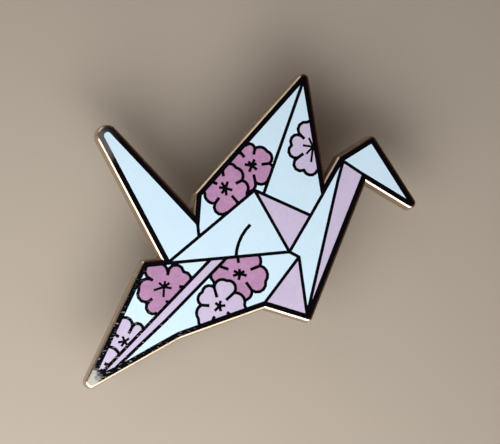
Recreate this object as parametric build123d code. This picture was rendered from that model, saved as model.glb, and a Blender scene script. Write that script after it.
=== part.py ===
from build123d import *
from dataclasses import dataclass
import math
import os

# A lapel pin of hard enamel, in the shape of an origami crane with cherry blossoms on its wings.
# One die-struck metal plate carries the raised lines, enamel fills the pockets between them
# level with the metal, and two nail posts on the back each hold a rubber clutch.
# The pin lies face up on its clutches: +X runs from tail to beak, +Y towards the raised wing
# and +Z out of the face. The origin is under the middle of the outline, where the clutches stand.
# Sizes are in millimetres and directions in degrees from +X.

# Metal plate
plate_thickness = 1.6
edge_round = 0.25        # polished round along the outer edge of the face
edge_steps = 2           # sloping flats that make up that round
wall_draft = 0.14        # how much further the side wall stands out at the back
border_width = 0.58      # flat metal that frames the figure
fold_line_width = 0.38   # flat metal of a fold line
petal_line_width = 0.36  # flat metal round a blossom and between its petals
pocket_depth = 0.4       # how deep the enamel goes

# Nail posts, soldered to the back of the plate by their heads
post_radius = 0.55
post_length = 6.0        # from the back of the plate to the point
post_head_radius = 2.1
post_head_thickness = 0.35
post_point_length = 0.9
post_point_radius = 0.12
post_groove_depth = 0.12
post_groove_height = 0.5
post_groove_distance = 1.5  # from the point to the middle of the groove

# Rubber clutches
clutch_flange_radius = 4.5
clutch_flange_thickness = 1.3
clutch_waist_radius = 2.6
clutch_foot_radius = 3.3
clutch_foot_height = 1.5
clutch_rim_bevel = 0.35
clutch_end_wall = 0.9    # rubber between the end of the bore and the foot
bore_clearance = 0.04    # between the post and the bore
bore_end_gap = 0.25      # between the post's point and the end of the bore
bore_mouth = 0.35        # flare at the mouth of the bore

# Where the posts stand
left_post = (-4.8, -2.9)
right_post = (5.2, 2.0)

# Corners of the flat face, clockwise from the tip of the raised wing
wing_tip = (6.1, 17.99)
neck_notch = (8.24, 5.06)
nape = (10.02, 8.12)
crown = (13.98, 10.59)
beak_tip = (19.73, 1.83)
throat = (13.05, 5.7)
chest_foot = (6.5, -10.42)
breast_notch = (1.31, -8.87)
lower_bend = (-8.42, -12.3)
low_wing_tip = (-19.18, -18.29)
shoulder = (-12.48, -4.01)
tail_low_notch = (-10.2, -3.75)
tail_end_low = (-17.85, 10.42)
tail_end_high = (-16.45, 11.42)
tail_high_notch = (-6.67, 1.23)
wing_root = (-6.49, 3.77)

# Each corner with its rounding
tip_round = 0.42
corner_round = 0.3
bend_round = 4.0
tail_round = 0.95
outline_corners = [
    (wing_tip, tip_round),
    (neck_notch, 0),
    (nape, corner_round),
    (crown, corner_round),
    (beak_tip, tip_round),
    (throat, 0),
    (chest_foot, corner_round),
    (breast_notch, 0),
    (lower_bend, bend_round),
    (low_wing_tip, tip_round),
    (shoulder, corner_round),
    (tail_low_notch, 0),
    (tail_end_low, tail_round),
    (tail_end_high, tail_round),
    (tail_high_notch, 0),
    (wing_root, corner_round),
]

# Where fold lines meet
tail_corner = (-9.81, -4.08)
tail_top = (-6.23, -1.08)
breast_peak = (0.14, 4.26)
breast_low = (4.16, -2.7)
neck_root = (6.64, 1.47)
chest_joint = (5.27, -3.28)


def beside(corner, right, up):
    """The point that lies a little way from a corner."""
    return corner[0] + right, corner[1] + up


# Fold lines, each a chain of points whose outer ends run under the border
fold_lines = [
    [(1.17, 3.83), beside(wing_tip, -0.21, -0.89)],
    [tail_corner, tail_top, breast_peak, neck_root],
    [beside(tail_high_notch, 0.25, -0.68), tail_top],
    [breast_peak, breast_low],
    [breast_low, neck_root, beside(neck_notch, 0.03, -0.76)],
    [tail_corner, breast_low, chest_joint, beside(chest_foot, -0.28, 0.52)],
    [chest_joint, beside(breast_notch, -0.06, 0.31)],
    [beside(chest_foot, -0.3, 0.57), (9.86, 5.57), beside(nape, 0.48, -0.22)],
    [beside(nape, 0.18, -0.19), beside(throat, -0.2, 0.54)],
    [(-4.87, -3.58), beside(low_wing_tip, 1.98, 1.89)],
    [(-3.08, -3.44), (-9.85, -10.35), beside(low_wing_tip, 3.58, 2.49), beside(low_wing_tip, 2.08, 1.79)],
    [beside(low_wing_tip, 2.36, 3.03), beside(low_wing_tip, 2.94, 2.84)],
    [beside(low_wing_tip, 2.18, 2.34), beside(low_wing_tip, 1.43, 1.94)],
]

# Lines that curve, each by its start, a point on the way and its end
body_crease = [(-2.0, -3.35), (-1.32, -0.9), (-0.35, 0.36)]
single_petal = [(-16.66, -13.4), (-15.57, -13.7), (-15.15, -14.4)]


@dataclass
class Blossom:
    """Petals round a centre, each between two neighbouring valleys."""

    centre: tuple
    valleys: tuple        # direction, where two petals' outlines meet, and inner end of the line between them
    petals: tuple         # how far the first lobe, the notch and the second lobe reach
    stamens: tuple        # direction and reach of each short line at the centre
    stamen_width: float


lobe_share = 0.27         # how far round a petal each of its two lobes lies
chords_per_lobe = 5       # straight stretches that follow the arc of a lobe

wing_front_blossom = Blossom(
    centre=(-3.2, 4.43),
    valleys=((26, 2.1, 1.47), (100, 1.84, 1.55), (154, 1.52, 1.23), (235, 2.1, 1.47), (311, 2.07, 1.26)),
    petals=((2.68, 2.64, 2.85), (2.6, 2.5, 2.6), (2.6, 2.45, 2.54), (3.02, 2.75, 2.8), (2.7, 2.5, 2.6)),
    stamens=((73, 0.8), (125, 0.8), (173, 0.76), (232, 0.75), (277, 0.83), (346, 0.81)),
    stamen_width=0.33,
)
wing_rear_blossom = Blossom(
    centre=(-0.18, 7.05),
    valleys=((8, 2.08, 1.29), (80, 1.95, 1.45), (132, 1.84, 1.44), (212, 2.1, 1.5), (282, 1.9, 1.2)),
    petals=((2.57, 2.42, 2.42), (2.48, 2.4, 2.6), (2.6, 2.5, 2.6), (2.8, 2.8, 3.0), (2.5, 2.4, 2.6)),
    stamens=((67, 0.78), (130, 0.62), (172, 0.85), (247, 0.78), (322, 0.74), (24, 0.62)),
    stamen_width=0.33,
)
wing_side_blossom = Blossom(
    centre=(6.92, 9.33),
    valleys=((138, 1.73, 1.5), (216, 2.2, 1.54), (281, 2.7, 2.7), (340, 1.9, 1.9), (68, 1.9, 1.9)),
    petals=((2.68, 2.5, 2.9), (3.27, 2.9, 3.27), (2.9, 2.7, 2.9), (2.9, 2.7, 2.9), (3.08, 2.87, 2.97)),
    stamens=((115, 1.12), (173, 1.2), (227, 1.15), (263, 1.78)),
    stamen_width=0.26,
)
low_wing_blossom = Blossom(
    centre=(-10.18, -6.74),
    valleys=((1, 2.3, 1.89), (74, 1.62, 1.54), (150, 1.7, 1.62), (224, 2.3, 2.03), (282, 1.88, 1.69)),
    petals=((3.22, 2.8, 2.95), (2.6, 2.9, 3.05), (2.72, 2.85, 3.1), (3.33, 3.08, 3.2), (3.0, 2.8, 3.0)),
    stamens=((80, 0.68), (36, 0.78), (350, 0.86), (267, 1.15), (198, 1.22), (141, 0.74)),
    stamen_width=0.28,
)
low_wing_bud = Blossom(
    centre=(-14.6, -12.82),
    valleys=((5, 1.95, 1.95), (62, 1.88, 1.19), (142, 1.9, 0.98)),
    petals=((2.6, 2.5, 2.62), (2.66, 2.55, 2.7)),
    stamens=((108, 0.62), (34, 0.65), (187, 0.72), (238, 0.64), (308, 0.6)),
    stamen_width=0.28,
)
belly_front_blossom = Blossom(
    centre=(-3.89, -8.87),
    valleys=((42, 2.25, 1.2), (106, 2.17, 1.2), (177, 2.07, 1.32), (244, 1.75, 1.43), (322, 1.7, 1.26)),
    petals=((3.1, 2.98, 2.98), (2.7, 2.51, 2.63), (2.7, 2.78, 3.08), (2.8, 2.7, 2.8), (3.25, 2.88, 2.93)),
    stamens=((78, 0.62), (7, 0.68), (285, 0.6), (224, 0.76), (143, 0.6)),
    stamen_width=0.33,
)
belly_rear_blossom = Blossom(
    centre=(-1.53, -5.22),
    valleys=((22, 2.45, 1.43), (98, 1.9, 1.4), (160, 2.5, 1.6), (235, 2.3, 1.5), (306, 2.28, 1.35)),
    petals=((3.0, 2.9, 2.9), (2.9, 2.8, 2.9), (3.38, 3.13, 3.3), (2.9, 2.9, 3.0), (3.2, 3.05, 3.15)),
    stamens=((100, 0.57), (32, 0.6), (156, 0.8), (195, 0.85), (256, 0.72), (345, 0.8)),
    stamen_width=0.33,
)

# Blossoms that share a panel, the front one first
blossom_groups = [
    [wing_front_blossom, wing_rear_blossom],
    [wing_side_blossom],
    [low_wing_blossom, low_wing_bud],
    [belly_front_blossom, belly_rear_blossom],
]

# Each pocket of enamel, by a point inside it
enamel_points = {
    "tail_enamel": (-11.8, 4.11),
    "wing_root_enamel": (-5.55, 2.17),
    "wing_front_blossom_enamel": (-2.35, 6.29),
    "wing_rear_blossom_enamel": (0.99, 8.62),
    "wing_tip_enamel": (3.66, 13.47),
    "wing_gap_enamel": (0.82, 4.6),
    "wing_back_enamel": (5.4, 4.93),
    "wing_side_blossom_enamel": (4.94, 9.49),
    "breast_enamel": (3.88, 0.35),
    "body_enamel": (-4.41, -1.77),
    "neck_left_enamel": (6.55, -2.47),
    "neck_right_enamel": (10.67, 4.43),
    "head_enamel": (14.22, 7.36),
    "low_wing_corner_enamel": (-12.15, -5.6),
    "low_wing_notch_enamel": (-9.6, -4.55),
    "low_wing_edge_enamel": (-6.3, -4.26),
    "low_wing_blossom_enamel": (-11.2, -4.85),
    "low_wing_middle_enamel": (-13.06, -9.18),
    "low_wing_bud_enamel": (-14.63, -11.07),
    "low_wing_petal_enamel": (-16.3, -14.3),
    "low_wing_strip_enamel": (-10.06, -9.5),
    "belly_rear_blossom_enamel": (0.4, -5.4),
    "belly_front_blossom_enamel": (-5.2, -7.5),
    "belly_left_enamel": (-8.37, -9.87),
    "belly_right_enamel": (3.06, -4.2),
    "belly_fold_enamel": (4.57, -7.02),
}

# Heights that follow from the sizes above, with the clutches' feet at zero
bore_depth = post_length - post_head_thickness + bore_end_gap
seat_height = bore_depth + clutch_end_wall
back_height = seat_height + post_head_thickness
face_height = back_height + plate_thickness


def towards(start, direction, distance):
    """The point that lies at a distance and in a direction from start."""
    angle = math.radians(direction)
    return start[0] + distance * math.cos(angle), start[1] + distance * math.sin(angle)


def arc_points(start, middle, end, chords):
    """Points spaced evenly along the arc that runs through three points."""
    arc = ThreePointArc(start, middle, end)
    return [arc @ (step / chords) for step in range(chords + 1)]


def flat_line(points, width):
    """A line of one width along a chain of points, mitred where it bends and cut square at its ends."""
    points = [Vector(*point) for point in points]
    runs = [(after - before).normalized() for before, after in zip(points, points[1:])]
    left, right = [], []
    for point, arriving, leaving in zip(points, runs[:1] + runs, runs + runs[-1:]):
        across = (arriving + leaving).normalized().rotate(Axis.Z, 90)
        reach = width / 2 / across.dot(leaving.rotate(Axis.Z, 90))
        left.append(point + across * reach)
        right.append(point - across * reach)
    return make_face(Polyline(*left, *reversed(right), close=True).edges())


def petal_outlines(blossom):
    """The outline of each petal: an arc over each of its two lobes, with a notch between them."""
    outlines = []
    nexts = blossom.valleys[1:] + blossom.valleys[:1]
    for first, second, reaches in zip(blossom.valleys, nexts, blossom.petals):
        span = (second[0] - first[0]) % 360
        start = towards(blossom.centre, first[0], first[1])
        near = towards(blossom.centre, first[0] + span * lobe_share, reaches[0])
        notch = towards(blossom.centre, first[0] + span / 2, reaches[1])
        far = towards(blossom.centre, second[0] - span * lobe_share, reaches[2])
        end = towards(blossom.centre, second[0], second[1])
        near_lobe = arc_points(start, near, notch, chords_per_lobe)
        far_lobe = arc_points(notch, far, end, chords_per_lobe)
        outlines.append(near_lobe + far_lobe[1:])
    return outlines


def blossom_lines(blossom):
    """The raised lines of one blossom: its outline, the lines between petals, and stamens."""
    lines = [flat_line(outline, petal_line_width) for outline in petal_outlines(blossom)]
    for direction, outer_reach, inner_reach in blossom.valleys:
        if inner_reach < outer_reach:
            outer = towards(blossom.centre, direction, outer_reach)
            inner = towards(blossom.centre, direction, inner_reach - petal_line_width / 2)
            lines.append(flat_line([outer, inner], petal_line_width))
    for direction, reach in blossom.stamens:
        lines.append(flat_line([blossom.centre, towards(blossom.centre, direction, reach)], blossom.stamen_width))
    return lines


def blossom_area(blossom):
    """Everything inside the middle of a blossom's outline."""
    points = [point for outline in petal_outlines(blossom) for point in outline[:-1]]
    return make_face(Polyline(*points, close=True).edges())


def face_outline():
    """The flat face, out to where its edge rounds over."""
    corners = [corner for corner, rounding in outline_corners]
    roundings = [rounding for corner, rounding in outline_corners]
    return make_face(FilletPolyline(*corners, radius=roundings, close=True).edges())


def framed_area():
    """What the border frames: sharp at every corner but the tail's and the lower bend."""
    corners = [corner for corner, rounding in outline_corners]
    sharp = make_face(Polyline(*corners, close=True).edges())
    inside = offset(sharp, -border_width, kind=Kind.INTERSECTION)
    nearest = inside.vertices().sort_by_distance
    area = fillet([nearest(tail_end_low)[0], nearest(tail_end_high)[0]], tail_round - border_width)
    return fillet(area.vertices().sort_by_distance(lower_bend)[0], bend_round)


def enamel_areas():
    """The area of each pocket in the face, by the name of its enamel."""
    folds = [flat_line(line, fold_line_width) for line in fold_lines]
    folds.append(flat_line(arc_points(*body_crease, chords_per_lobe), fold_line_width))
    panels = (framed_area() - folds).faces()
    pockets = []
    for group in blossom_groups:
        front = group[0]
        panel = panels.sort_by_distance(towards(front.centre, *front.stamens[1]))[0]
        panels.remove(panel)
        lines = blossom_lines(front)
        for behind in group[1:]:
            lines += (Sketch() + blossom_lines(behind) - blossom_area(front)).faces()
        if single_petal_in(panel):
            lines.append(flat_line(arc_points(*single_petal, chords_per_lobe), petal_line_width))
        pockets += (panel - lines).faces()
    pockets += panels
    return {name: ShapeList(pockets).sort_by_distance(point)[0] for name, point in enamel_points.items()}


def single_petal_in(panel):
    """Whether the lone petal near the low wing's tip lies in this panel."""
    return panel.distance_to(Vector(*single_petal[1])) < fold_line_width


def make_enamels(areas):
    """Enamel that fills each pocket level with the face."""
    return {name: Pos(0, 0, face_height) * extrude(area, -pocket_depth) for name, area in areas.items()}


def plate_blank():
    """The plate before its pockets: the face, then layers that step out over the edge and down the wall."""
    turns = [math.radians(90 * step / edge_steps) for step in range(edge_steps + 1)]
    rims = [(edge_round * math.sin(turn), edge_round * (math.cos(turn) - 1)) for turn in turns]
    rims.append((edge_round + wall_draft, -plate_thickness))
    blank = Part()
    rim = face_outline()
    for (inner, high), (outer, low) in zip(rims, rims[1:]):
        slope = math.degrees(math.atan2(outer - inner, high - low))
        layer = extrude(rim, low - high, dir=(0, 0, 1), taper=-slope)
        blank += layer
        rim = layer.faces().sort_by(Axis.Z)[0]
    return blank


def make_plate(enamels):
    """The metal plate with a pocket under each enamel."""
    return Pos(0, 0, face_height) * plate_blank() - list(enamels.values())


def make_post(place):
    """A nail post: a flat head on the back of the plate and a grooved shaft that ends in a blunt point."""
    groove = -post_length + post_groove_distance
    profile = Polyline(
        (0, 0),
        (post_head_radius, 0),
        (post_head_radius, -post_head_thickness),
        (post_radius, -post_head_thickness),
        (post_radius, groove + post_groove_height / 2),
        (post_radius - post_groove_depth, groove),
        (post_radius, groove - post_groove_height / 2),
        (post_radius, -post_length + post_point_length),
        (post_point_radius, -post_length),
        (0, -post_length),
        close=True,
    )
    return Pos(*place, back_height) * revolve(Plane.XZ * make_face(profile.edges()), Axis.Z)


def make_clutch(place):
    """A rubber clutch: a broad flange against the post's head, a waist to grip and a flat foot."""
    waist_top = seat_height - clutch_flange_thickness
    profile = Polyline(
        (0, 0),
        (clutch_foot_radius - clutch_rim_bevel, 0),
        (clutch_foot_radius, clutch_rim_bevel),
        (clutch_foot_radius, clutch_foot_height),
        (clutch_waist_radius, (clutch_foot_height + waist_top) / 2),
        (clutch_foot_radius, waist_top),
        (clutch_flange_radius, waist_top),
        (clutch_flange_radius, seat_height - clutch_rim_bevel),
        (clutch_flange_radius - clutch_rim_bevel, seat_height),
        (0, seat_height),
        close=True,
    )
    body = revolve(Plane.XZ * make_face(profile.edges()), Axis.Z)
    bore_radius = post_radius + bore_clearance
    bore = Pos(0, 0, seat_height - bore_depth / 2) * Cylinder(bore_radius, bore_depth)
    flare = Pos(0, 0, seat_height - bore_mouth / 2) * Cone(bore_radius, bore_radius + bore_mouth, bore_mouth)
    return Pos(*place) * (body - bore - flare)


enamels = make_enamels(enamel_areas())
parts = {
    "metal_plate": make_plate(enamels),
    **enamels,
    "left_post": make_post(left_post),
    "right_post": make_post(right_post),
    "left_clutch": make_clutch(left_post),
    "right_clutch": make_clutch(right_post),
}
middle = parts["metal_plate"].bounding_box().center()
os.makedirs("parts", exist_ok=True)
for name, shape in parts.items():
    export_step(Pos(-middle.X, -middle.Y) * shape, f"parts/{name}.step")
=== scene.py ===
"""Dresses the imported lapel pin: plated metal, polished enamel, soldered posts and rubber clutches."""

import math

import bmesh
import bpy
from mathutils import Matrix, Vector


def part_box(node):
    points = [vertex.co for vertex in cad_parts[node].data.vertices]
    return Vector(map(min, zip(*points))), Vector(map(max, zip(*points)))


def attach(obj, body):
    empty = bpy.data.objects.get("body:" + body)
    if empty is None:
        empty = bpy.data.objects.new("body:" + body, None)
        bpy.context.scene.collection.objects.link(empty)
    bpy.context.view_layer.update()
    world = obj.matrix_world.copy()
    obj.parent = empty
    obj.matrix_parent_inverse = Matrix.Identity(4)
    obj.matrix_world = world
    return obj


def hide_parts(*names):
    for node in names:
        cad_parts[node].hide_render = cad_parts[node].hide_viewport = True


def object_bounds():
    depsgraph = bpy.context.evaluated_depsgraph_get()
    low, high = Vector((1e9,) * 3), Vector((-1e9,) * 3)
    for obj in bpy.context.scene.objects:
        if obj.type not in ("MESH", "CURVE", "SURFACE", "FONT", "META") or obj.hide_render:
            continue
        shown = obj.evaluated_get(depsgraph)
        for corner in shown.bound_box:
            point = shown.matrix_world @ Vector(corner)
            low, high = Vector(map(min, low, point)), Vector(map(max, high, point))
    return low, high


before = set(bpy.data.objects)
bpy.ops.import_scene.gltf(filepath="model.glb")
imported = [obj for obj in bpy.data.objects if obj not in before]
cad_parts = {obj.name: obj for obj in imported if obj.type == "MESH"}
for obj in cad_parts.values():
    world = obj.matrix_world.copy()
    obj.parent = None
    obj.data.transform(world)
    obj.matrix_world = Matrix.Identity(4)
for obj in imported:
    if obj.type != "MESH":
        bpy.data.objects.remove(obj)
cad_low, cad_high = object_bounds()

bl_info = {
    "name": "Crane Lapel Pin",
    "version": (1, 0, 0),
    "blender": (4, 5, 0),
    "location": "View3D > Sidebar > Crane Pin",
    "description": "Gives the crane lapel pin its metal, enamel, solder and rubber, and sets its stage",
    "category": "Object",
}

MM = 0.001
HAIR = 0.001 * MM  # corners and heights this close together are the same
SKIN = 0.01 * MM  # what lies this close under the face's height is part of the face
FLAT = 0.99  # a normal this near to upright belongs to the flat face or back

# The outline's roundings turn by less than this at each step, and its corners by more
LEAST_CORNER = math.radians(33)

# The Mix node's sockets for colours, numbered because its other sockets have the same names
SHARE, FIRST, SECOND, MIXED = 0, 6, 7, 2

# The pin's own landmarks, worked out from the frame
FACE_HEIGHT = cad_high.z
BACK_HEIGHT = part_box("metal_plate")[0].z
LOW_WING_TIP = Vector((cad_low.x, cad_low.y, FACE_HEIGHT))
tail_low, tail_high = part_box("tail_enamel")
TAIL_TIP = Vector((tail_low.x, tail_high.y, FACE_HEIGHT))

# Spots of the face: two tips with a painted highlight, and the nicked border; the middle, how far out each
# is full, and how far out it is gone
LOW_WING_HIGHLIGHT = (LOW_WING_TIP + Vector((-0.2, 0.7, 0)) * MM, 1.2 * MM, 3.6 * MM)
TAIL_HIGHLIGHT = (TAIL_TIP + Vector((-1.25, -1.8, 0)) * MM, 1.8 * MM, 3.3 * MM)
NICKED_BORDER = (LOW_WING_TIP, 8 * MM, 19 * MM)

# Sizes that the fixed patterns are worked out from
BUFFING_MARK = 0.12 * MM
POLISHING_SMEAR = 1.2 * MM
ENAMEL_SWELL = 3 * MM
DRAWING_MARK = 0.15 * MM
SOLDER_LUMP = 0.4 * MM
BEAD_WANDER = 1.6 * MM
RUBBER_GRAIN = 0.3 * MM

# Pockets of enamel by their colour
WHITE_FIELDS = (
    "tail", "wing_root", "wing_tip", "wing_gap", "wing_back", "body", "neck_left", "head",
    "low_wing_corner", "low_wing_notch", "low_wing_edge", "low_wing_middle", "belly_left", "belly_right",
)
LILAC_FIELDS = (
    "wing_side_blossom", "low_wing_bud", "low_wing_petal", "low_wing_strip", "belly_front_blossom",
    "breast", "neck_right", "belly_fold",
)
PINK_FIELDS = ("wing_front_blossom", "wing_rear_blossom", "low_wing_blossom", "belly_rear_blossom")
SIDES = ("left", "right")


def linear(code):
    """An sRGB hex code as linear colour values."""
    parts = [int(code[i:i + 2], 16) / 255 for i in (1, 3, 5)]
    return tuple(c / 12.92 if c <= 0.04045 else ((c + 0.055) / 1.055) ** 2.4 for c in parts)


def add_node(tree, kind, inputs=None, give=0, **settings):
    """Adds one node with its settings and links, and gives back one of its outputs.

    An input is a plain value or another node's output, by its name, or its number where names repeat.
    """
    made = tree.nodes.new(kind)
    for name, value in settings.items():
        setattr(made, name, value)
    for key, value in (inputs or {}).items():
        if isinstance(value, bpy.types.NodeSocket):
            tree.links.new(value, made.inputs[key])
        else:
            made.inputs[key].default_value = value
    return made.outputs[give] if made.outputs else None


def new_finish(name):
    """An empty material, its node tree, and the place on the object that its patterns follow."""
    material = bpy.data.materials.new(name)
    material.use_nodes = True
    tree = material.node_tree
    tree.nodes.clear()
    return material, tree, add_node(tree, "ShaderNodeTexCoord", give="Object")


def fade_near(tree, place, point, full, none):
    """A share that is full within one distance of a point and gone past another, for the painted
    highlights and the nicks.
    """
    gap = add_node(tree, "ShaderNodeVectorMath", {0: place, 1: point}, "Value", operation="DISTANCE")
    return add_node(tree, "ShaderNodeMapRange", {
        "Value": gap, "From Min": full, "From Max": none, "To Min": 1.0, "To Max": 0.0,
    }, "Result", interpolation_type="SMOOTHSTEP")


def smooth_copy(node, name, body, materials, pick=None, sharp_angle=50, banded=False):
    """Stands a merged, smoothly shaded copy in for a CAD node. pick says which material a face gets."""
    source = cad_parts[node].data
    shape = bmesh.new()
    corners = [shape.verts.new(vertex.co) for vertex in source.vertices]
    for face in source.polygons:
        shape.faces.new([corners[i] for i in face.vertices])
    bmesh.ops.remove_doubles(shape, verts=shape.verts, dist=HAIR)
    mesh = bpy.data.meshes.new(name)
    shape.to_mesh(mesh)
    shape.free()
    for material in materials:
        mesh.materials.append(material)
    for face in mesh.polygons:
        face.material_index = pick(face) if pick else 0
    mesh.shade_smooth()
    mesh.set_sharp_from_angle(angle=math.radians(sharp_angle))
    if banded:
        keep_bands_crisp(mesh)
    rough = bpy.data.objects.new(name, mesh)
    bpy.context.scene.collection.objects.link(rough)
    weighing = rough.modifiers.new("even_shading", "WEIGHTED_NORMAL")
    weighing.keep_sharp = True
    copy = plain_object(rough, name, body)
    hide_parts(node)


def keep_bands_crisp(mesh):
    """Marks level edges and unrounded corners sharp, so that each band round the outline shows."""
    facing = {}
    for face in mesh.polygons:
        for key in face.edge_keys:
            facing.setdefault(key, []).append(face.normal.xy)
    for edge in mesh.edges:
        start, end = (mesh.vertices[i].co.z for i in edge.vertices)
        level = abs(start - end) < HAIR
        pair = facing[edge.key]
        turned = len(pair) == 2 and pair[0].angle(pair[1], 0) > LEAST_CORNER
        if level or turned:
            edge.use_edge_sharp = True


def plain_object(maker, name, body):
    """Turns an object's evaluated shape into a plain mesh object on a body, and removes the maker."""
    bpy.context.view_layer.update()
    graph = bpy.context.evaluated_depsgraph_get()
    mesh = bpy.data.meshes.new_from_object(maker.evaluated_get(graph), depsgraph=graph)
    if not mesh.polygons:
        raise RuntimeError(f"{name} came out empty")
    bpy.data.objects.remove(maker)
    made = bpy.data.objects.new(name, mesh)
    bpy.context.scene.collection.objects.link(made)
    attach(made, body)
    return made


def new_shape_tree(name, sockets):
    """A Geometry Nodes tree, what its input node gives, and the identifier of each named input."""
    tree = bpy.data.node_groups.new(name, "GeometryNodeTree")
    tree.interface.new_socket("Geometry", in_out="INPUT", socket_type="NodeSocketGeometry")
    identifiers = {}
    for label, kind in sockets:
        socket = tree.interface.new_socket(label, in_out="INPUT", socket_type=kind)
        identifiers[label] = socket.identifier
    tree.interface.new_socket("Geometry", in_out="OUTPUT", socket_type="NodeSocketGeometry")
    given = tree.nodes.new("NodeGroupInput").outputs
    return tree, given, identifiers


def finish_tree(tree, shape, material):
    """Ends a Geometry Nodes tree: instances made real, smooth, and in their material."""
    smooth = add_node(tree, "GeometryNodeSetShadeSmooth", {"Geometry": shape})
    real = add_node(tree, "GeometryNodeRealizeInstances", {"Geometry": smooth})
    done = add_node(tree, "GeometryNodeSetMaterial", {"Geometry": real, "Material": material})
    add_node(tree, "NodeGroupOutput", {"Geometry": done})


def run_tree(data, tree, identifiers, values):
    """An object whose Geometry Nodes modifier runs the tree on some data with these values."""
    maker = bpy.data.objects.new(tree.name, data)
    bpy.context.scene.collection.objects.link(maker)
    modifier = maker.modifiers.new(tree.name, "NODES")
    modifier.node_group = tree
    for label, value in values.items():
        modifier[identifiers[label]] = value
    return maker


def post_centre(side, height):
    """The middle of a post, at a height."""
    low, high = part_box(side + "_post")
    return Vector(((low.x + high.x) / 2, (low.y + high.y) / 2, height))


class PlateSettings(bpy.types.PropertyGroup):
    """Looks of the struck metal plate."""

    struck_face: bpy.props.FloatVectorProperty(
        name="Struck face", description="Black nickel on the raised lines", subtype="COLOR",
        size=3, min=0, max=1, default=linear("#2c2c36"))
    # Pale colour of the painted highlight at two tips, and of the nicks
    highlight_and_nicks: bpy.props.FloatVectorProperty(
        name="Rubbed metal", description="Paler metal where the wheel ran over a tip", subtype="COLOR",
        size=3, min=0, max=1, default=linear("#c4c1b8"))
    # The rim's pale gold is a painted reflection; face and rim carry the same black nickel plating
    rim_painted_gold: bpy.props.FloatVectorProperty(
        name="Rim", description="Pale gold on the rounded edge and the side wall", subtype="COLOR",
        size=3, min=0, max=1, default=linear("#c4af96"))
    back: bpy.props.FloatVectorProperty(
        name="Back", description="Sandblasted back under the same plating", subtype="COLOR",
        size=3, min=0, max=1, default=linear("#c4ae88"))
    grit: bpy.props.FloatProperty(
        name="Grit", description="Size of the grains on the sandblasted back",
        default=0.12 * MM, min=0.05 * MM, max=1 * MM, unit="LENGTH", precision=5)
    nicks: bpy.props.FloatProperty(
        name="Nicks", description="Size of the fine nicks in the border near the low wing's tip",
        default=0.3 * MM, min=0.1 * MM, max=1 * MM, unit="LENGTH", precision=5)
    stroke_angle: bpy.props.FloatProperty(
        name="Stroke angle", description="Direction of the polishing wheel's last strokes",
        default=math.radians(-22), unit="ROTATION")


class EnamelSettings(bpy.types.PropertyGroup):
    """Colours of the enamel, and the patterns in it."""

    white: bpy.props.FloatVectorProperty(
        name="White", description="Cool white enamel", subtype="COLOR",
        size=3, min=0, max=1, default=linear("#d0e8f6"))
    lilac: bpy.props.FloatVectorProperty(
        name="Lilac", description="Pale lilac enamel", subtype="COLOR",
        size=3, min=0, max=1, default=linear("#c8bbd4"))
    pink: bpy.props.FloatVectorProperty(
        name="Pink", description="Dusty pink enamel", subtype="COLOR",
        size=3, min=0, max=1, default=linear("#b487aa"))
    cloud: bpy.props.FloatProperty(
        name="Clouds", description="Size of the faint clouds in the enamel",
        default=4 * MM, min=1 * MM, max=20 * MM, unit="LENGTH", precision=4)
    grain: bpy.props.FloatProperty(
        name="Grain", description="Size of the ground glass that shows as specks in the pink",
        default=0.4 * MM, min=0.1 * MM, max=1 * MM, unit="LENGTH", precision=5)


class PostSettings(bpy.types.PropertyGroup):
    """Steel posts and the solder that holds them."""

    steel: bpy.props.FloatVectorProperty(
        name="Steel", description="Drawn steel of the nail posts", subtype="COLOR",
        size=3, min=0, max=1, default=linear("#c3c4c4"))
    solder: bpy.props.FloatVectorProperty(
        name="Solder", description="Dull tin solder", subtype="COLOR",
        size=3, min=0, max=1, default=linear("#a3a29c"))
    bead: bpy.props.FloatProperty(
        name="Solder bead", description="Radius of the bead of solder round a post's head",
        default=0.2 * MM, min=0.05 * MM, max=0.3 * MM, unit="LENGTH", precision=5)
    unevenness: bpy.props.FloatProperty(
        name="Unevenness", description="How far the bead wanders in and out",
        default=0.22 * MM, min=0, max=0.5 * MM, unit="LENGTH", precision=5)


class ClutchSettings(bpy.types.PropertyGroup):
    """Moulded rubber clutches."""

    rubber: bpy.props.FloatVectorProperty(
        name="Rubber", description="Black rubber with a matt skin", subtype="COLOR",
        size=3, min=0, max=1, default=linear("#242427"))
    seam: bpy.props.FloatProperty(
        name="Mould seam", description="Width of the thin ridge where the parts of the mould met",
        default=0.12 * MM, min=0.05 * MM, max=0.4 * MM, unit="LENGTH", precision=5)
    seams: bpy.props.IntProperty(
        name="Seams", description="How many seams run down a clutch", default=2, min=1, max=4)


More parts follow.
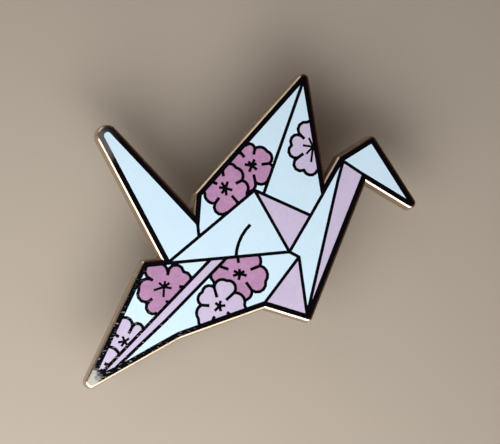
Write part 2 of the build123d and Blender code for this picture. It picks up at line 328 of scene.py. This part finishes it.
class StageSettings(bpy.types.PropertyGroup):
    """Floor, lights and camera."""

    floor: bpy.props.FloatVectorProperty(
        name="Floor", description="Plain pale floor", subtype="COLOR",
        size=3, min=0, max=1, default=linear("#ada192"))
    view_distance: bpy.props.FloatProperty(
        name="View distance", description="From the camera to the middle of the picture",
        default=200 * MM, min=50 * MM, unit="LENGTH", precision=3)
    view_width: bpy.props.FloatProperty(
        name="View width", description="Width of the picture at that distance",
        default=56.55 * MM, min=10 * MM, unit="LENGTH", precision=4)
    lean: bpy.props.FloatVectorProperty(
        name="Camera lean", description="How far the camera leans along X and Y for each unit up",
        size=2, default=(-0.19, -0.06))
    aim: bpy.props.FloatVectorProperty(
        name="Camera aim", description="Point of the face in the middle of the picture",
        size=2, default=(-0.474 * MM, 0.764 * MM), unit="LENGTH", precision=6)
    key_power: bpy.props.FloatProperty(
        name="Key light", description="Power of the near soft light",
        default=0.18, min=0, unit="POWER")
    lower_power: bpy.props.FloatProperty(
        name="Lower panel", description="Power of the panel that the pin's lower edges reflect",
        default=0.34, min=0, unit="POWER")
    upper_power: bpy.props.FloatProperty(
        name="Upper panel", description="Power of the panel that the pin's upper left edges reflect",
        default=0.045, min=0, unit="POWER")
    window_side: bpy.props.FloatVectorProperty(
        name="Window side", description="Cool daylight on the window's side", subtype="COLOR",
        size=3, min=0, max=1, default=linear("#d4e6ff"))
    window_strength: bpy.props.FloatProperty(
        name="Window strength", description="Strength of the surroundings on the window's side",
        default=0.2, min=0, max=2)
    far_side: bpy.props.FloatVectorProperty(
        name="Far side", description="Brown of the room, which the edge reflects on its far side",
        subtype="COLOR", size=3, min=0, max=1, default=linear("#d9a27f"))
    far_strength: bpy.props.FloatProperty(
        name="Far strength", description="Strength of the surroundings on the far side",
        default=0.13, min=0, max=2)


class CRANE_OT_plate(bpy.types.Operator):
    """Plates the struck metal: black nickel face, a rim painted pale gold for its reflection, and
    sandblasted back.
    """

    bl_idname = "crane.plate"
    bl_label = "Plate the metal"

    def execute(self, context):
        look = context.scene.crane_plate
        materials = [self.struck_face(look), self.rim_painted_gold(look), self.back(look)]
        struck_face, rim_painted_gold, back = range(3)

        # Upward faces get the dark face, the rest of the outside the rim's pale gold, a painted reflection
        # of the same plating
        def pick(face):
            if face.normal.z > FLAT and face.center.z > FACE_HEIGHT - SKIN:
                return struck_face
            return back if face.normal.z < -FLAT else rim_painted_gold

        smooth_copy(
            "metal_plate", "plated_plate", "pin", materials, pick=pick, banded=True)
        return {"FINISHED"}

    def struck_face(self, look):
        """Raised lines ground level with the enamel and buffed: a dark mirror, with a pale highlight
        painted at two tips.
        """
        material, tree, place = new_finish("buffed_black_nickel")
        # The wheel's last strokes ran across the border, so the pattern is stretched along them
        stroke = add_node(tree, "ShaderNodeMapping", {
            "Vector": place, "Rotation": (0, 0, look.stroke_angle), "Scale": (0.6, 1.7, 1)})
        strokes = add_node(tree, "ShaderNodeTexNoise", {
            "Vector": stroke, "Scale": 1 / look.nicks, "Detail": 3.0}, "Fac")
        # A painted highlight: the low wing's tip pale, with ragged ends, and the tail's tip partly pale
        low_tip = fade_near(tree, place, *LOW_WING_HIGHLIGHT)
        ragged = add_node(tree, "ShaderNodeMath", {0: low_tip, 1: strokes}, operation="ADD")
        low_tip_highlight = add_node(tree, "ShaderNodeMapRange", {
            "Value": ragged, "From Min": 0.95, "From Max": 1.45}, "Result")
        tail_tip = fade_near(tree, place, *TAIL_HIGHLIGHT)
        tail_share = 0.6
        tail_tip_highlight = add_node(tree, "ShaderNodeMath", {0: tail_tip, 1: tail_share}, operation="MULTIPLY")
        # Near the low wing's tip the deepest strokes left fine nicks, in the same pale colour
        nick = add_node(tree, "ShaderNodeMapRange", {
            "Value": strokes, "From Min": 0.6, "From Max": 0.68, "To Max": 0.8}, "Result")
        nearby = fade_near(tree, place, *NICKED_BORDER)
        nicked = add_node(tree, "ShaderNodeMath", {0: nick, 1: nearby}, operation="MULTIPLY")
        tips = add_node(tree, "ShaderNodeMath", {0: low_tip_highlight, 1: tail_tip_highlight}, operation="MAXIMUM")
        highlight_and_nicks = add_node(tree, "ShaderNodeMath", {0: tips, 1: nicked}, operation="MAXIMUM")
        colour = add_node(tree, "ShaderNodeMix", {
            SHARE: highlight_and_nicks, FIRST: (*look.struck_face, 1), SECOND: (*look.highlight_and_nicks, 1),
        }, MIXED, data_type="RGBA")
        # Where the highlight and the nicks are painted, the metal is also rougher and spreads the light
        # more
        roughness = add_node(tree, "ShaderNodeMapRange", {
            "Value": highlight_and_nicks, "To Min": 0.2, "To Max": 0.5}, "Result")
        # Buffing marks are a few thousandths of a millimetre wide, so they are drawn much coarser
        stretched = add_node(tree, "ShaderNodeMapping", {
            "Vector": place, "Rotation": (0, 0, look.stroke_angle), "Scale": (0.08, 1, 1)})
        marks = add_node(tree, "ShaderNodeTexNoise", {
            "Vector": stretched, "Scale": 1 / BUFFING_MARK}, "Fac")
        surface = add_node(tree, "ShaderNodeBump", {"Height": marks, "Distance": 0.0015 * MM}, "Normal")
        shader = add_node(tree, "ShaderNodeBsdfPrincipled", {
            "Base Color": colour, "Metallic": 1.0, "Roughness": roughness, "Normal": surface}, "BSDF")
        add_node(tree, "ShaderNodeOutputMaterial", {"Surface": shader})
        return material

    def rim_painted_gold(self, look):
        """The polished round of the edge and the side wall in pale gold, a painted reflection of the one
        plating.
        """
        material, tree, place = new_finish("rim_gold_painted_reflection")
        # Polishing by hand leaves soft smears a millimetre or so long
        smear = add_node(tree, "ShaderNodeTexNoise", {
            "Vector": place, "Scale": 1 / POLISHING_SMEAR}, "Fac")
        roughness = add_node(tree, "ShaderNodeMapRange", {
            "Value": smear, "From Min": 0.3, "From Max": 0.75, "To Min": 0.18, "To Max": 0.3}, "Result")
        shader = add_node(tree, "ShaderNodeBsdfPrincipled", {
            "Base Color": (*look.rim_painted_gold, 1), "Metallic": 1.0, "Roughness": roughness}, "BSDF")
        add_node(tree, "ShaderNodeOutputMaterial", {"Surface": shader})
        return material

    def back(self, look):
        """The flat back, sandblasted before it was plated: the same gold gone dull and grainy."""
        material, tree, place = new_finish("sandblasted_pale_gold")
        # Real grains are about 0.05 mm wide, and are drawn coarser so that they show
        grains = add_node(tree, "ShaderNodeTexNoise", {
            "Vector": place, "Scale": 1 / look.grit, "Detail": 4.0, "Roughness": 0.7}, "Fac")
        surface = add_node(tree, "ShaderNodeBump", {"Height": grains, "Distance": 0.015 * MM}, "Normal")
        shader = add_node(tree, "ShaderNodeBsdfPrincipled", {
            "Base Color": (*look.back, 1), "Metallic": 1.0, "Roughness": 0.5, "Normal": surface}, "BSDF")
        add_node(tree, "ShaderNodeOutputMaterial", {"Surface": shader})
        return material


class CRANE_OT_enamel(bpy.types.Operator):
    """Fills the pockets with polished white, lilac and pink enamel."""

    bl_idname = "crane.enamel"
    bl_label = "Fill the enamel"

    def execute(self, context):
        look = context.scene.crane_enamel
        self.fill("white_hard_enamel", WHITE_FIELDS, look, look.white, contrast=0.02)
        self.fill("lilac_hard_enamel", LILAC_FIELDS, look, look.lilac, contrast=0.05)
        self.fill("pink_hard_enamel", PINK_FIELDS, look, look.pink, contrast=0.13)
        return {"FINISHED"}

    def fill(self, name, fields, look, hue, contrast):
        """Opaque glass paste, fired, ground level with the lines and polished to a high gloss."""
        material, tree, place = new_finish(name)
        # Faint clouds from the paste, and ground glass that shows most in the darkest colour
        cloud = add_node(tree, "ShaderNodeTexNoise", {"Vector": place, "Scale": 1 / look.cloud}, "Fac")
        grain = add_node(tree, "ShaderNodeTexNoise", {
            "Vector": place, "Scale": 1 / look.grain, "Detail": 3.0}, "Fac")
        mixed = add_node(tree, "ShaderNodeMath", {0: cloud, 1: grain}, operation="ADD")
        share = add_node(tree, "ShaderNodeMapRange", {
            "Value": mixed, "From Min": 0.6, "From Max": 1.4}, "Result", interpolation_type="SMOOTHSTEP")
        deep = tuple(c * (1 - contrast) for c in hue)
        pale = tuple(min(1, c * (1 + contrast)) for c in hue)
        colour = add_node(tree, "ShaderNodeMix", {
            SHARE: share, FIRST: (*deep, 1), SECOND: (*pale, 1)}, MIXED, data_type="RGBA")
        roughness = add_node(tree, "ShaderNodeMapRange", {
            "Value": cloud, "From Min": 0.3, "From Max": 0.7, "To Min": 0.1, "To Max": 0.18}, "Result")
        # Polishing leaves the surface a hair off flat, so its reflections swim a little
        swells = add_node(tree, "ShaderNodeTexNoise", {
            "Vector": place, "Scale": 1 / ENAMEL_SWELL}, "Fac")
        surface = add_node(tree, "ShaderNodeBump", {"Height": swells, "Distance": 0.01 * MM}, "Normal")
        shader = add_node(tree, "ShaderNodeBsdfPrincipled", {
            "Base Color": colour, "IOR": 1.52, "Roughness": roughness, "Normal": surface}, "BSDF")
        add_node(tree, "ShaderNodeOutputMaterial", {"Surface": shader})
        for field in fields:
            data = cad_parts[field + "_enamel"].data
            data.materials.clear()
            data.materials.append(material)


class CRANE_OT_posts(bpy.types.Operator):
    """Gives the posts drawn steel and an uneven bead of solder each."""

    bl_idname = "crane.posts"
    bl_label = "Solder the posts"

    def execute(self, context):
        look = context.scene.crane_posts
        steel = self.steel(look)
        for side in SIDES:
            smooth_copy(
                side + "_post", side + "_steel_post", "pin", [steel], sharp_angle=30)
        tree, identifiers = self.bead_tree(self.solder(look))
        centres = bpy.data.meshes.new("post_centres")
        centres.from_pydata([post_centre(side, BACK_HEIGHT) for side in SIDES], [], [])
        low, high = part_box("left_post")
        maker = run_tree(centres, tree, identifiers, {
            "Head radius": (high.x - low.x) / 2, "Bead radius": look.bead,
            "Unevenness": look.unevenness, "Seed": 3.0})
        plain_object(maker, "solder_beads", "pin")
        return {"FINISHED"}

    def steel(self, look):
        """Nails cut from drawn wire, with lengthwise drawing marks."""
        material, tree, place = new_finish("drawn_steel")
        # Drawing marks are about a hundredth of a millimetre wide, and are drawn coarser so that they show
        lengthwise = add_node(tree, "ShaderNodeMapping", {"Vector": place, "Scale": (1, 1, 0.1)})
        marks = add_node(tree, "ShaderNodeTexNoise", {
            "Vector": lengthwise, "Scale": 1 / DRAWING_MARK, "Detail": 3.0}, "Fac")
        roughness = add_node(tree, "ShaderNodeMapRange", {
            "Value": marks, "From Min": 0.3, "From Max": 0.7, "To Min": 0.22, "To Max": 0.4}, "Result")
        shader = add_node(tree, "ShaderNodeBsdfPrincipled", {
            "Base Color": (*look.steel, 1), "Metallic": 1.0, "Roughness": roughness}, "BSDF")
        add_node(tree, "ShaderNodeOutputMaterial", {"Surface": shader})
        return material

    def solder(self, look):
        """Tin solder that cooled with a slightly lumpy, dull skin."""
        material, tree, place = new_finish("tin_solder")
        lumps = add_node(tree, "ShaderNodeTexNoise", {
            "Vector": place, "Scale": 1 / SOLDER_LUMP}, "Fac")
        surface = add_node(tree, "ShaderNodeBump", {"Height": lumps, "Distance": 0.03 * MM}, "Normal")
        shader = add_node(tree, "ShaderNodeBsdfPrincipled", {
            "Base Color": (*look.solder, 1), "Metallic": 1.0, "Roughness": 0.42, "Normal": surface,
        }, "BSDF")
        add_node(tree, "ShaderNodeOutputMaterial", {"Surface": shader})
        return material

    def bead_tree(self, solder):
        """A wandering bead of solder round each point, in the corner of post's head and plate."""
        tree, given, identifiers = new_shape_tree("solder_beads", (
            ("Head radius", "NodeSocketFloat"), ("Bead radius", "NodeSocketFloat"),
            ("Unevenness", "NodeSocketFloat"), ("Seed", "NodeSocketFloat")))
        ring = add_node(tree, "GeometryNodeCurvePrimitiveCircle", {
            "Resolution": 72, "Radius": given["Head radius"]})
        rings = add_node(tree, "GeometryNodeInstanceOnPoints", {
            "Points": given["Geometry"], "Instance": ring})
        real = add_node(tree, "GeometryNodeRealizeInstances", {"Geometry": rings})
        lump = add_node(tree, "ShaderNodeTexNoise", {
            "W": given["Seed"], "Scale": 1 / BEAD_WANDER}, "Fac", noise_dimensions="4D")
        # The noise runs from 0 to 1, and its middle leaves the bead where it is
        across = add_node(tree, "ShaderNodeMath", {0: lump, 1: 0.5}, operation="SUBTRACT")
        reach = add_node(tree, "ShaderNodeMath", {
            0: across, 1: given["Unevenness"]}, operation="MULTIPLY")
        along = add_node(tree, "GeometryNodeInputTangent")
        outward = add_node(tree, "ShaderNodeVectorMath", {
            0: along, 1: (0, 0, 1)}, operation="CROSS_PRODUCT")
        shift = add_node(tree, "ShaderNodeVectorMath", {0: outward, "Scale": reach}, operation="SCALE")
        wavy = add_node(tree, "GeometryNodeSetPosition", {"Geometry": real, "Offset": shift})
        section = add_node(tree, "GeometryNodeCurvePrimitiveCircle", {
            "Resolution": 16, "Radius": given["Bead radius"]})
        beads = add_node(tree, "GeometryNodeCurveToMesh", {"Curve": wavy, "Profile Curve": section})
        finish_tree(tree, beads, solder)
        return tree, identifiers


class CRANE_OT_clutches(bpy.types.Operator):
    """Gives the clutches their moulded rubber, with the mould's seams."""

    bl_idname = "crane.clutches"
    bl_label = "Mould the clutches"

    def execute(self, context):
        look = context.scene.crane_clutches
        rubber = self.rubber(look)
        tree, identifiers = self.seam_tree(rubber)
        for side in SIDES:
            body = side + "_clutch"
            smooth_copy(
                body, side + "_rubber_clutch", body, [rubber], sharp_angle=60)
            maker = run_tree(self.outline(body), tree, identifiers, {
                "Middle": post_centre(side, 0), "Seam width": look.seam, "Seams": look.seams})
            plain_object(maker, side + "_mould_seams", body)
        return {"FINISHED"}

    def rubber(self, look):
        """Soft moulded rubber: matt, with a faint grain from the mould."""
        material, tree, place = new_finish("matt_black_rubber")
        # The mould's grain is finer than a tenth of a millimetre, and is drawn coarser so that it shows
        grain = add_node(tree, "ShaderNodeTexNoise", {
            "Vector": place, "Scale": 1 / RUBBER_GRAIN, "Detail": 3.0}, "Fac")
        roughness = add_node(tree, "ShaderNodeMapRange", {
            "Value": grain, "From Min": 0.3, "From Max": 0.7, "To Min": 0.5, "To Max": 0.66}, "Result")
        surface = add_node(tree, "ShaderNodeBump", {"Height": grain, "Distance": 0.012 * MM}, "Normal")
        shader = add_node(tree, "ShaderNodeBsdfPrincipled", {
            "Base Color": (*look.rubber, 1), "Roughness": roughness, "Normal": surface}, "BSDF")
        add_node(tree, "ShaderNodeOutputMaterial", {"Surface": shader})
        return material

    def outline(self, node):
        """A clutch's outer profile as a curve, from the rings of corners that its CAD node has."""
        low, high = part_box(node)
        middle = (low + high) / 2
        corners = [vertex.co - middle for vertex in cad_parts[node].data.vertices]
        # Six places of a metre are thousandths of a millimetre, and five are hundredths
        rings = {(round(c.z + middle.z, 6), round(math.hypot(c.x, c.y), 5)) for c in corners}
        # Rings nearer to the axis than this line the bore
        bore_side = 1.5 * MM
        profile = [(radius, 0, height) for height, radius in sorted(rings) if radius > bore_side]
        curve = bpy.data.curves.new("clutch_outline", "CURVE")
        curve.dimensions = "3D"
        line = curve.splines.new("POLY")
        line.points.add(len(profile) - 1)
        for point, place in zip(line.points, profile):
            point.co = (*place, 1)
        return curve

    def seam_tree(self, rubber):
        """Seams that run down a clutch's outline, spread evenly round it."""
        tree, given, identifiers = new_shape_tree("mould_seams", (
            ("Middle", "NodeSocketVector"), ("Seam width", "NodeSocketFloat"),
            ("Seams", "NodeSocketInt")))
        radius = add_node(tree, "ShaderNodeMath", {
            0: given["Seam width"], 1: 0.5}, operation="MULTIPLY")
        section = add_node(tree, "GeometryNodeCurvePrimitiveCircle", {
            "Resolution": 8, "Radius": radius})
        seam = add_node(tree, "GeometryNodeCurveToMesh", {
            "Curve": given["Geometry"], "Profile Curve": section, "Fill Caps": True})
        spots = add_node(tree, "GeometryNodePoints", {
            "Count": given["Seams"], "Position": given["Middle"]})
        step = add_node(tree, "ShaderNodeMath", {
            0: math.tau, 1: given["Seams"]}, operation="DIVIDE")
        number = add_node(tree, "GeometryNodeInputIndex")
        turn = add_node(tree, "ShaderNodeMath", {0: number, 1: step}, operation="MULTIPLY")
        spin = add_node(tree, "ShaderNodeCombineXYZ", {"Z": turn})
        seams = add_node(tree, "GeometryNodeInstanceOnPoints", {
            "Points": spots, "Instance": seam, "Rotation": spin})
        finish_tree(tree, seams, rubber)
        return tree, identifiers


class CRANE_OT_stage(bpy.types.Operator):
    """Sets the floor, the lights and the camera."""

    bl_idname = "crane.stage"
    bl_label = "Set the stage"

    def execute(self, context):
        look = context.scene.crane_stage
        context.scene.view_settings.view_transform = "Standard"
        self.floor(look, context.scene)
        self.lights(look, context.scene)
        self.surroundings(look, context.scene)
        self.camera(look, context.scene)
        return {"FINISHED"}

    def floor(self, look, scene):
        """A plain pale floor under the clutches' feet."""
        material, tree, _ = new_finish("pale_floor")
        shader = add_node(tree, "ShaderNodeBsdfPrincipled", {
            "Base Color": (*look.floor, 1), "Roughness": 0.8}, "BSDF")
        add_node(tree, "ShaderNodeOutputMaterial", {"Surface": shader})
        reach = 1.5  # metres to each side
        corners = [(-reach, -reach, 0), (reach, -reach, 0), (reach, reach, 0), (-reach, reach, 0)]
        mesh = bpy.data.meshes.new("floor")
        mesh.from_pydata(corners, [], [(0, 1, 2, 3)])
        mesh.materials.append(material)
        floor = bpy.data.objects.new("floor", mesh)
        scene.collection.objects.link(floor)

    def lights(self, look, scene):
        """A near soft key on the tail's side, and two panels that the bands of the edge reflect."""
        # Where each lamp stands, its width and height in metres, and its power
        lamps = {
            "key_light": (Vector((-0.044, -0.071, 0.093)), (0.14, 0.1), look.key_power),
            "lower_panel": (Vector((0.0, -0.205, 0.219)), (0.32, 0.13), look.lower_power),
            "upper_panel": (Vector((-0.131, 0.167, 0.212)), (0.12, 0.1), look.upper_power),
        }
        for name, (place, sides, power) in lamps.items():
            lamp = bpy.data.lights.new(name, "AREA")
            lamp.shape = "RECTANGLE"
            lamp.size, lamp.size_y = sides
            lamp.energy = power
            light = bpy.data.objects.new(name, lamp)
            light.location = place
            light.rotation_euler = (-place).to_track_quat("-Z", "Y").to_euler()
            scene.collection.objects.link(light)

    def surroundings(self, look, scene):
        """Soft surroundings: daylight on the window's side and a brown room on the far side."""
        world = bpy.data.worlds.new("studio")
        world.use_nodes = True
        tree = world.node_tree
        tree.nodes.clear()
        direction = add_node(tree, "ShaderNodeTexCoord", give="Generated")
        window = Vector((-0.75, -0.55, 0.35)).normalized()
        # Cosines of the angle from the window where its daylight is gone, and where it is full
        gone, full = -0.35, 0.9
        facing = add_node(tree, "ShaderNodeVectorMath", {
            0: direction, 1: window}, "Value", operation="DOT_PRODUCT")
        share = add_node(tree, "ShaderNodeMapRange", {
            "Value": facing, "From Min": gone, "From Max": full,
        }, "Result", interpolation_type="SMOOTHSTEP")
        near = tuple(c * look.window_strength for c in look.window_side)
        far = tuple(c * look.far_strength for c in look.far_side)
        colour = add_node(tree, "ShaderNodeMix", {
            SHARE: share, FIRST: (*far, 1), SECOND: (*near, 1)}, MIXED, data_type="RGBA")
        glow = add_node(tree, "ShaderNodeBackground", {"Color": colour})
        add_node(tree, "ShaderNodeOutputWorld", {"Surface": glow})
        scene.world = world

    def camera(self, look, scene):
        """A camera above the face at the photograph's angle, with +Y up in the picture."""
        back = Vector((*look.lean, 1)).normalized()
        right = Vector((0, 1, 0)).cross(back).normalized()
        aim = Vector((*look.aim, FACE_HEIGHT))
        lens = bpy.data.cameras.new("camera")
        lens.sensor_width = 36
        lens.lens = lens.sensor_width * look.view_distance / look.view_width
        lens.clip_start = 0.01
        camera = bpy.data.objects.new("camera", lens)
        turn = Matrix((right, back.cross(right), back)).transposed().to_4x4()
        camera.matrix_world = Matrix.Translation(aim + back * look.view_distance) @ turn
        scene.collection.objects.link(camera)
        scene.camera = camera


STEPS = (CRANE_OT_plate, CRANE_OT_enamel, CRANE_OT_posts, CRANE_OT_clutches, CRANE_OT_stage)


class CRANE_PT_panel(bpy.types.Panel):
    """Lists the steps that dress the pin."""

    bl_idname = "CRANE_PT_panel"
    bl_label = "Crane Pin"
    bl_space_type = "VIEW_3D"
    bl_region_type = "UI"
    bl_category = "Crane Pin"

    def draw(self, context):
        for step in STEPS:
            self.layout.operator(step.bl_idname)


GROUPS = {
    "crane_plate": PlateSettings,
    "crane_enamel": EnamelSettings,
    "crane_posts": PostSettings,
    "crane_clutches": ClutchSettings,
    "crane_stage": StageSettings,
}


def register():
    """Registers the settings, the steps and the panel."""
    for cls in (*GROUPS.values(), *STEPS, CRANE_PT_panel):
        bpy.utils.register_class(cls)
    for name, group in GROUPS.items():
        setattr(bpy.types.Scene, name, bpy.props.PointerProperty(type=group))


def unregister():
    """Takes back what register did."""
    for name in GROUPS:
        delattr(bpy.types.Scene, name)
    for cls in (CRANE_PT_panel, *reversed(STEPS), *reversed(GROUPS.values())):
        bpy.utils.unregister_class(cls)


def main():
    register()
    bpy.ops.crane.plate()
    bpy.ops.crane.enamel()
    bpy.ops.crane.posts()
    bpy.ops.crane.clutches()
    bpy.ops.crane.stage()


if __name__ == "__main__":
    main()
